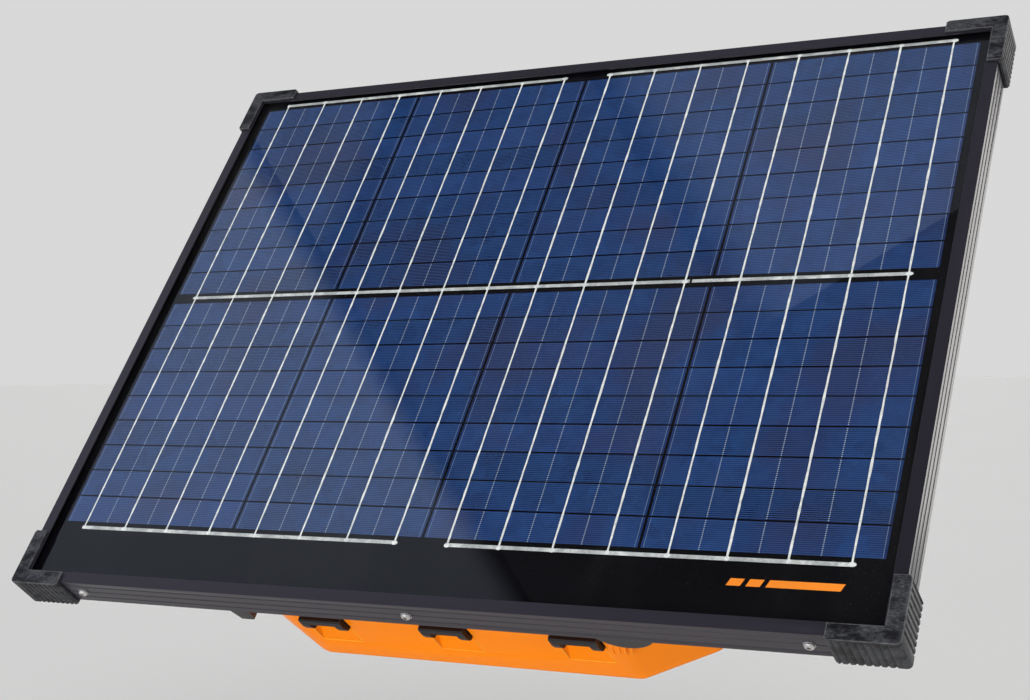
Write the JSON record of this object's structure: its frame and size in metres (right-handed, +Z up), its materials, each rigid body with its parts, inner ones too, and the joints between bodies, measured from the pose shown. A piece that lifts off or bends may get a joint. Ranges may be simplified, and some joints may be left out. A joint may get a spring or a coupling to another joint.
{
  "type": "solar fence energizer",
  "caption": "Electric-fence energizer whose framed solar panel is the hinged, latched lid of an orange battery case, with a post bracket, a selector knob and fence and earth terminals.",
  "frame": {"origin": "middle of the bracket's face that meets the post", "axes": "+Y out of that face into the post, +Z up, +X to the right of someone facing the panel; the panel leans back 53 degrees from the horizontal and faces -Y"},
  "size_m": [0.6686, 0.3295, 0.4609],
  "materials": {
    "anodised_frame": "black anodised, satin",
    "corner_plastic": "moulded, matte, ribbed",
    "solar_glass": "low-iron tempered, smooth",
    "solar_cells": "polycrystalline silicon, blue",
    "back_sheet": "black film",
    "seal_rubber": "foam rubber",
    "moulded_black": "moulded, satin",
    "bright_steel": "bright",
    "case_orange": "moulded, satin",
    "battery_plastic": "moulded",
    "powder_black": "powder coated",
    "board_green": "glass epoxy, green solder mask",
    "transformer_black": "varnished laminations",
    "capacitor_sleeve": "shrink sleeve",
    "lead_red": "insulated wire",
    "lead_black": "insulated wire",
    "status_green": "translucent",
    "knob_red": "moulded, satin",
    "knob_green": "moulded, satin"
  },
  "bodies": {
    "case": {"case_shell": "case_orange", "hinge_pin": "bright_steel", "latch_pin_left": "bright_steel", "latch_pin_centre": "bright_steel", "latch_pin_right": "bright_steel", "battery_left": "battery_plastic", "battery_right": "battery_plastic", "battery_strap": "powder_black", "strap_screw_left": "bright_steel", "strap_screw_right": "bright_steel", "circuit_board": "board_green", "board_screw_1": "bright_steel", "board_screw_2": "bright_steel", "board_screw_3": "bright_steel", "board_screw_4": "bright_steel", "pulse_transformer": "transformer_black", "storage_capacitor_1": "capacitor_sleeve", "storage_capacitor_2": "capacitor_sleeve", "battery_lead_red": "lead_red", "battery_lead_black": "lead_black", "panel_lead_case": "lead_black", "control_fascia": "moulded_black", "selector_switch": "moulded_black", "status_light": "status_green", "terminal_block": "moulded_black", "fence_stud": "bright_steel", "earth_stud": "bright_steel", "post_bracket": "powder_black", "bracket_bolt_1": "bright_steel", "bracket_bolt_2": "bright_steel", "bracket_bolt_3": "bright_steel", "bracket_bolt_4": "bright_steel"},
    "panel_lid": {"frame_rail_bottom": "anodised_frame", "frame_rail_right": "anodised_frame", "frame_rail_top": "anodised_frame", "frame_rail_left": "anodised_frame", "corner_cap_bottom_left": "corner_plastic", "corner_cap_bottom_right": "corner_plastic", "corner_cap_top_left": "corner_plastic", "corner_cap_top_right": "corner_plastic", "solar_glass": "solar_glass", "cell_layer": "solar_cells", "back_sheet": "back_sheet", "glass_seal": "seal_rubber", "junction_box": "moulded_black", "panel_back_plate": "moulded_black", "frame_screw_bottom_left": "bright_steel", "frame_screw_bottom_centre": "bright_steel", "frame_screw_bottom_right": "bright_steel", "frame_screw_top_left": "bright_steel", "frame_screw_top_right": "bright_steel", "case_seal": "seal_rubber", "panel_lead_lid": "lead_black"},
    "latch_left": {"latch_left": "moulded_black"},
    "latch_centre": {"latch_centre": "moulded_black"},
    "latch_right": {"latch_right": "moulded_black"},
    "selector_knob": {"selector_knob": "moulded_black"},
    "fence_knob": {"fence_knob": "knob_red"},
    "earth_knob": {"earth_knob": "knob_green"}
  },
  "joints": [
    {"name": "lid_hinge", "type": "hinge", "parent": "case", "child": "panel_lid", "pos_m": [0, -0.07793, 0.13403], "axis": [-1, 0, 0], "range_deg": [0, 60]},
    {"name": "latch_left_pivot", "type": "hinge", "parent": "case", "child": "latch_left", "pos_m": [-0.1, -0.22409, -0.11808], "axis": [1, 0, 0], "range_deg": [0, 75]},
    {"name": "latch_centre_pivot", "type": "hinge", "parent": "case", "child": "latch_centre", "pos_m": [0, -0.22409, -0.11808], "axis": [1, 0, 0], "range_deg": [0, 75]},
    {"name": "latch_right_pivot", "type": "hinge", "parent": "case", "child": "latch_right", "pos_m": [0.1, -0.22409, -0.11808], "axis": [1, 0, 0], "range_deg": [0, 75]},
    {"name": "selector_turn", "type": "hinge", "parent": "case", "child": "selector_knob", "pos_m": [0.1975, -0.10938, 0.0225], "axis": [1, 0, 0], "range_deg": [-60, 60]},
    {"name": "fence_knob_turn", "type": "hinge", "parent": "case", "child": "fence_knob", "pos_m": [-0.212, -0.1463, -0.02732], "axis": [1, 0, 0], "continuous": true},
    {"name": "earth_knob_turn", "type": "hinge", "parent": "case", "child": "earth_knob", "pos_m": [-0.212, -0.12223, 0.00463], "axis": [1, 0, 0], "continuous": true}
  ]
}
